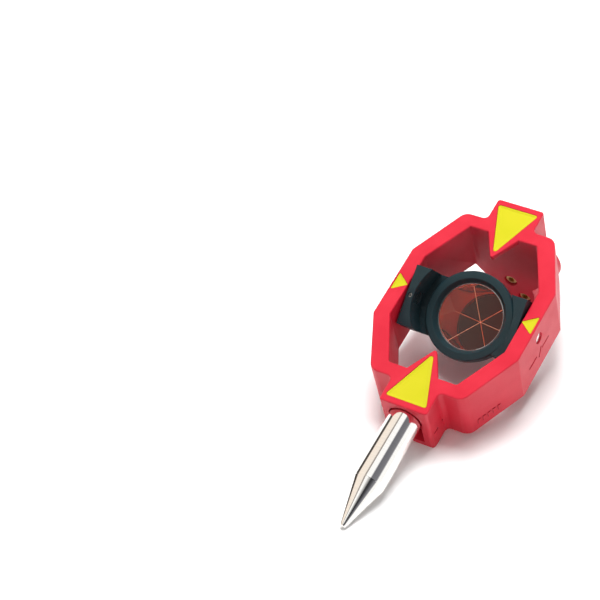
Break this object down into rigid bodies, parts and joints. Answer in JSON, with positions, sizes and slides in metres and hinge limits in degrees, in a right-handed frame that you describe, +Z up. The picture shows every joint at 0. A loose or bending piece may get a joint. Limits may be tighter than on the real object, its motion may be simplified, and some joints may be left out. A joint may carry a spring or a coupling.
{
  "type": "survey prism",
  "caption": "Mini survey prism: octagonal frame with target marks, a glass corner cube that tilts in its holder, a bull's-eye level and a screw-in point.",
  "frame": {"origin": "middle of the bounding box at the height of the table that the prism lies on, resting on its point's tip and the rim of its level", "axes": "+X across the frame, along the tilt axis, to the right as seen from the front; +Y along the table from the point's tip towards the frame's top; +Z up from the table, out of the frame's front at the angle that it lies at"},
  "size_m": [0.0618, 0.1606, 0.0486],
  "materials": {
    "frame_red": "red powder coat over a cast body, satin",
    "target_yellow": "yellow target inlay, satin",
    "insert_brass": "machined",
    "stud_steel": "machined, with a hex socket",
    "point_steel": "polished, fine turning marks",
    "holder_black": "black anodised",
    "ring_black": "black anodised, turned",
    "seal_rubber": "black",
    "prism_glass": "clear front, copper-coated back faces",
    "pad_rubber": "soft",
    "washer_nylon": "nylon",
    "pin_steel": "ground",
    "small_screw_steel": "small grub screw",
    "cup_black": "black anodised",
    "vial_clear": "clear acrylic",
    "fluid_green": "yellow-green level fluid",
    "screw_brass": "machined"
  },
  "bodies": {
    "frame": {"frame": "frame_red", "target_top": "target_yellow", "target_bottom": "target_yellow", "target_left": "target_yellow", "target_right": "target_yellow", "bottom_thread_insert": "insert_brass", "top_thread_insert": "insert_brass", "level_cup": "cup_black", "level_vial": "vial_clear", "level_fluid": "fluid_green", "level_cushion": "seal_rubber"},
    "prism_holder": {"prism_housing": "holder_black", "retaining_ring": "ring_black", "glass_seal": "seal_rubber", "corner_cube": "prism_glass", "apex_pad": "pad_rubber", "pivot_pin_left": "pin_steel", "pivot_pin_right": "pin_steel", "friction_washer_left": "washer_nylon", "friction_washer_right": "washer_nylon", "pin_screw": "small_screw_steel"},
    "joining_stud": {"joining_stud": "stud_steel"},
    "point": {"point": "point_steel"},
    "level_screw_1": {"level_screw_1": "screw_brass"},
    "level_screw_2": {"level_screw_2": "screw_brass"},
    "level_screw_3": {"level_screw_3": "screw_brass"}
  },
  "joints": [
    {"name": "prism_tilt", "type": "hinge", "parent": "frame", "child": "prism_holder", "pos_m": [0, 0.01792, 0.02773], "axis": [1, 0, 0], "range_deg": [-73, 17]},
    {"name": "point_travel", "type": "slide", "parent": "frame", "child": "joining_stud", "axis": [0, -0.9677, -0.2522], "range_m": [0, 0.008]},
    {"name": "point_turn", "type": "hinge", "parent": "joining_stud", "child": "point", "pos_m": [0, -0.02739, 0.01478], "axis": [0, -0.9677, -0.2522], "range_deg": [0, 2880]},
    {"name": "level_screw_1_turn", "type": "hinge", "parent": "frame", "child": "level_screw_1", "pos_m": [0, 0.05817, 0.016], "axis": [0, -0.9677, -0.2522], "range_deg": [-180, 180]},
    {"name": "level_screw_2_turn", "type": "hinge", "parent": "frame", "child": "level_screw_2", "pos_m": [-0.0052, 0.06044, 0.00729], "axis": [0, -0.9677, -0.2522], "range_deg": [-180, 180]},
    {"name": "level_screw_3_turn", "type": "hinge", "parent": "frame", "child": "level_screw_3", "pos_m": [0.0052, 0.06044, 0.00729], "axis": [0, -0.9677, -0.2522], "range_deg": [-180, 180]}
  ],
  "couplings": [
    {"joint": "point_turn", "follows": "point_travel", "rad_per_m": 6283.2}
  ]
}
